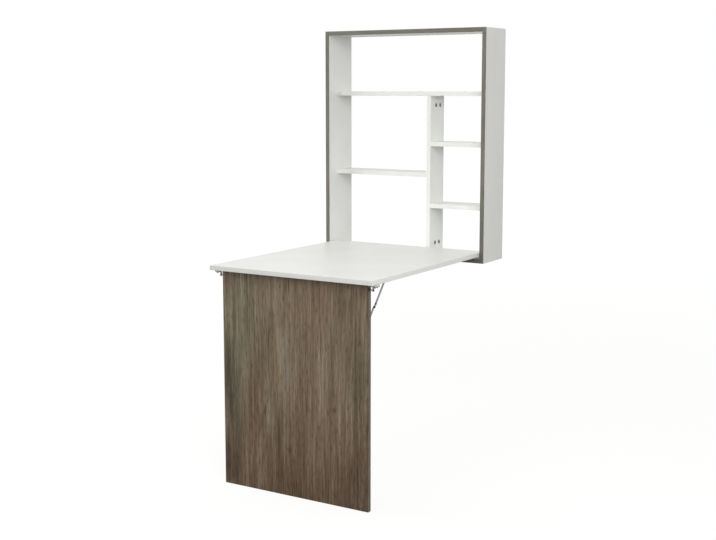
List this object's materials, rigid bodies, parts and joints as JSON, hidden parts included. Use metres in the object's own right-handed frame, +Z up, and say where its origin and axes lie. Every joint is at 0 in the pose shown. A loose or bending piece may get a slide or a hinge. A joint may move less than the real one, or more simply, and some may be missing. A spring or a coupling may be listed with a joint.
{
  "type": "fold down wall desk",
  "caption": "Shallow open wall cabinet with shelves and a drop front: the white desktop swings down on side pivots and a dark wood look leg panel folds out under it.",
  "frame": {"origin": "middle of the cabinet's back, on the wall", "axes": "+X to the right, +Y into the wall, +Z up"},
  "size_m": [0.67, 0.905, 1.549],
  "materials": {
    "white_melamine": "white melamine faced board, satin",
    "walnut_laminate": "grey brown walnut pattern laminate, matt",
    "zinc_plated_steel": "zinc plated pressed steel",
    "cam_zinc": "dark die cast zinc",
    "black_oxide_steel": "blackened steel, oiled",
    "white_nylon": "moulded white nylon",
    "beech_dowel": "fluted beech"
  },
  "bodies": {
    "cabinet": {"left_side_panel": "white_melamine", "right_side_panel": "white_melamine", "top_panel": "white_melamine", "bottom_panel": "white_melamine", "top_shelf": "white_melamine", "divider": "white_melamine", "left_shelf": "white_melamine", "lower_right_shelf": "white_melamine", "upper_right_shelf": "white_melamine", "left_front_edging": "walnut_laminate", "right_front_edging": "walnut_laminate", "top_front_edging": "walnut_laminate", "bottom_front_edging": "walnut_laminate", "panel_cam_locks": "cam_zinc", "shelf_cam_locks": "cam_zinc", "divider_cam_locks": "cam_zinc", "panel_cam_bolts": "zinc_plated_steel", "shelf_cam_bolts": "zinc_plated_steel", "divider_cam_bolts": "zinc_plated_steel", "dowels": "beech_dowel", "hanger_plates": "zinc_plated_steel", "hanger_screws": "zinc_plated_steel", "magnet_catches": "white_nylon", "desk_pivot_bushes": "white_nylon"},
    "desktop": {"desktop_panel": "white_melamine", "desk_pivot_pins": "zinc_plated_steel", "strike_discs": "white_melamine", "left_leg_bracket": "zinc_plated_steel", "right_leg_bracket": "zinc_plated_steel", "leg_bracket_packings": "white_nylon", "leg_bracket_screws": "black_oxide_steel", "leg_pivot_pins": "black_oxide_steel", "left_desk_stay_bracket": "zinc_plated_steel", "right_desk_stay_bracket": "zinc_plated_steel", "desk_stay_screws": "black_oxide_steel", "desk_stay_rivets": "black_oxide_steel"},
    "leg": {"leg_panel": "walnut_laminate", "leg_pivot_bushes": "black_oxide_steel", "left_leg_stay_bracket": "zinc_plated_steel", "right_leg_stay_bracket": "zinc_plated_steel", "leg_stay_screws": "black_oxide_steel", "leg_stay_rivets": "black_oxide_steel"},
    "left_upper_stay": {"left_upper_link": "zinc_plated_steel", "left_upper_knuckle": "black_oxide_steel"},
    "right_upper_stay": {"right_upper_link": "zinc_plated_steel", "right_upper_knuckle": "black_oxide_steel"},
    "left_lower_stay": {"left_lower_link": "zinc_plated_steel", "left_lower_knuckle": "black_oxide_steel"},
    "right_lower_stay": {"right_lower_link": "zinc_plated_steel", "right_lower_knuckle": "black_oxide_steel"}
  },
  "joints": [
    {"name": "desk_fold", "type": "hinge", "parent": "cabinet", "child": "desktop", "pos_m": [0, -0.125, -0.387], "axis": [-1, 0, 0], "range_deg": [0, 90]},
    {"name": "leg_fold", "type": "hinge", "parent": "desktop", "child": "leg", "pos_m": [0, -0.868, -0.415], "axis": [1, 0, 0], "range_deg": [0, 90]},
    {"name": "left_upper_stay_fold", "type": "hinge", "parent": "desktop", "child": "left_upper_stay", "pos_m": [0, -0.713, -0.401], "axis": [1, 0, 0], "range_deg": [0, 129.84]},
    {"name": "left_lower_stay_fold", "type": "hinge", "parent": "leg", "child": "left_lower_stay", "pos_m": [0, -0.854, -0.57], "axis": [-1, 0, 0], "range_deg": [0, 140.17]},
    {"name": "right_upper_stay_fold", "type": "hinge", "parent": "desktop", "child": "right_upper_stay", "pos_m": [0, -0.713, -0.401], "axis": [1, 0, 0], "range_deg": [0, 129.84]},
    {"name": "right_lower_stay_fold", "type": "hinge", "parent": "leg", "child": "right_lower_stay", "pos_m": [0, -0.854, -0.57], "axis": [-1, 0, 0], "range_deg": [0, 140.17]}
  ],
  "couplings": [
    {"joint": "leg_fold", "follows": "desk_fold", "ratio": 1},
    {"joint": "left_upper_stay_fold", "follows": "desk_fold", "ratio": 1.4426},
    {"joint": "left_lower_stay_fold", "follows": "desk_fold", "ratio": 1.5573},
    {"joint": "right_upper_stay_fold", "follows": "desk_fold", "ratio": 1.4426},
    {"joint": "right_lower_stay_fold", "follows": "desk_fold", "ratio": 1.5573}
  ]
}
